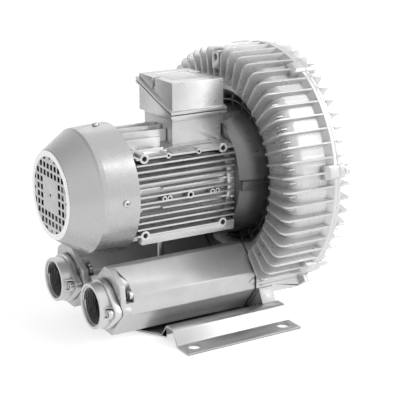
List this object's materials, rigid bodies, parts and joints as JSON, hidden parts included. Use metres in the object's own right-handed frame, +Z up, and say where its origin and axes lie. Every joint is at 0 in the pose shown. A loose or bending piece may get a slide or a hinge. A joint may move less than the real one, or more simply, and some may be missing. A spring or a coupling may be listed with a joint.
{
  "type": "side channel blower",
  "caption": "Side channel blower: finned ring casing with an overhung impeller, flanged motor with fan cowl and terminal box, twin silencers and a formed sheet foot.",
  "frame": {"origin": "on the floor, at the centre of the four foot holes, below the shaft", "axes": "+X along the shaft towards the blower cover, +Z up, the ports open towards -X"},
  "size_m": [0.3256, 0.316, 0.3279],
  "materials": {
    "cast_aluminium": "satin die cast",
    "machined_aluminium": "turned and cast",
    "foot_sheet": "bright formed sheet",
    "cowl_paint": "satin light grey paint",
    "zinc_steel": "bright zinc",
    "bearing_steel": "ground",
    "shaft_steel": "turned",
    "lamination_steel": "stacked sheets",
    "rotor_aluminium": "as cast",
    "copper": "lacquered wire",
    "brass": "turned",
    "black_rubber": "moulded",
    "silencer_foam": "open foam",
    "fan_plastic": "moulded",
    "plug_plastic": "moulded",
    "board_plastic": "moulded",
    "lead_insulation": "sleeved"
  },
  "bodies": {
    "machine": {"foot_plate": "foot_sheet", "foot_screws": "zinc_steel", "support_post": "zinc_steel", "casing": "cast_aluminium", "lift_boss": "cast_aluminium", "cover": "cast_aluminium", "cover_screws": "zinc_steel", "suction_silencer": "cast_aluminium", "discharge_silencer": "cast_aluminium", "suction_foam": "silencer_foam", "discharge_foam": "silencer_foam", "suction_joint_gasket": "black_rubber", "discharge_joint_gasket": "black_rubber", "suction_port": "machined_aluminium", "discharge_port": "machined_aluminium", "suction_port_gasket": "black_rubber", "discharge_port_gasket": "black_rubber", "silencer_screws": "zinc_steel", "port_screws": "zinc_steel", "shaft_seal": "black_rubber", "front_bearing_outer": "bearing_steel", "rear_bearing_outer": "bearing_steel", "wave_washer": "zinc_steel", "motor_frame": "cast_aluminium", "stator_core": "lamination_steel", "stator_winding": "copper", "motor_leads": "lead_insulation", "rear_end_shield": "cast_aluminium", "tie_screws": "zinc_steel", "fan_cover": "cowl_paint", "fan_cover_screws": "zinc_steel", "terminal_box": "cast_aluminium", "terminal_box_gasket": "black_rubber", "terminal_box_lid": "cast_aluminium", "lid_screws": "zinc_steel", "box_screws": "zinc_steel", "terminal_board": "board_plastic", "terminal_studs": "brass", "entry_plugs": "plug_plastic", "earth_screw": "brass"},
    "rotor": {"shaft": "shaft_steel", "rotor_core": "lamination_steel", "rotor_cage": "rotor_aluminium", "impeller": "cast_aluminium", "impeller_key": "shaft_steel", "impeller_washer": "zinc_steel", "impeller_screw": "zinc_steel", "cooling_fan": "fan_plastic", "fan_clip": "zinc_steel", "front_bearing_inner": "bearing_steel", "rear_bearing_inner": "bearing_steel"},
    "front_ball_set": {"front_bearing_balls": "bearing_steel", "front_bearing_cage": "bearing_steel"},
    "rear_ball_set": {"rear_bearing_balls": "bearing_steel", "rear_bearing_cage": "bearing_steel"}
  },
  "joints": [
    {"name": "rotor_spin", "type": "hinge", "parent": "machine", "child": "rotor", "pos_m": [0, 0, 0.171], "axis": [1, 0, 0], "continuous": true},
    {"name": "front_ball_orbit", "type": "hinge", "parent": "machine", "child": "front_ball_set", "pos_m": [0.043, 0, 0.171], "axis": [1, 0, 0], "continuous": true},
    {"name": "rear_ball_orbit", "type": "hinge", "parent": "machine", "child": "rear_ball_set", "pos_m": [-0.112, 0, 0.171], "axis": [1, 0, 0], "continuous": true}
  ],
  "couplings": [
    {"joint": "front_ball_orbit", "follows": "rotor_spin", "ratio": 0.3815},
    {"joint": "rear_ball_orbit", "follows": "rotor_spin", "ratio": 0.3815}
  ]
}
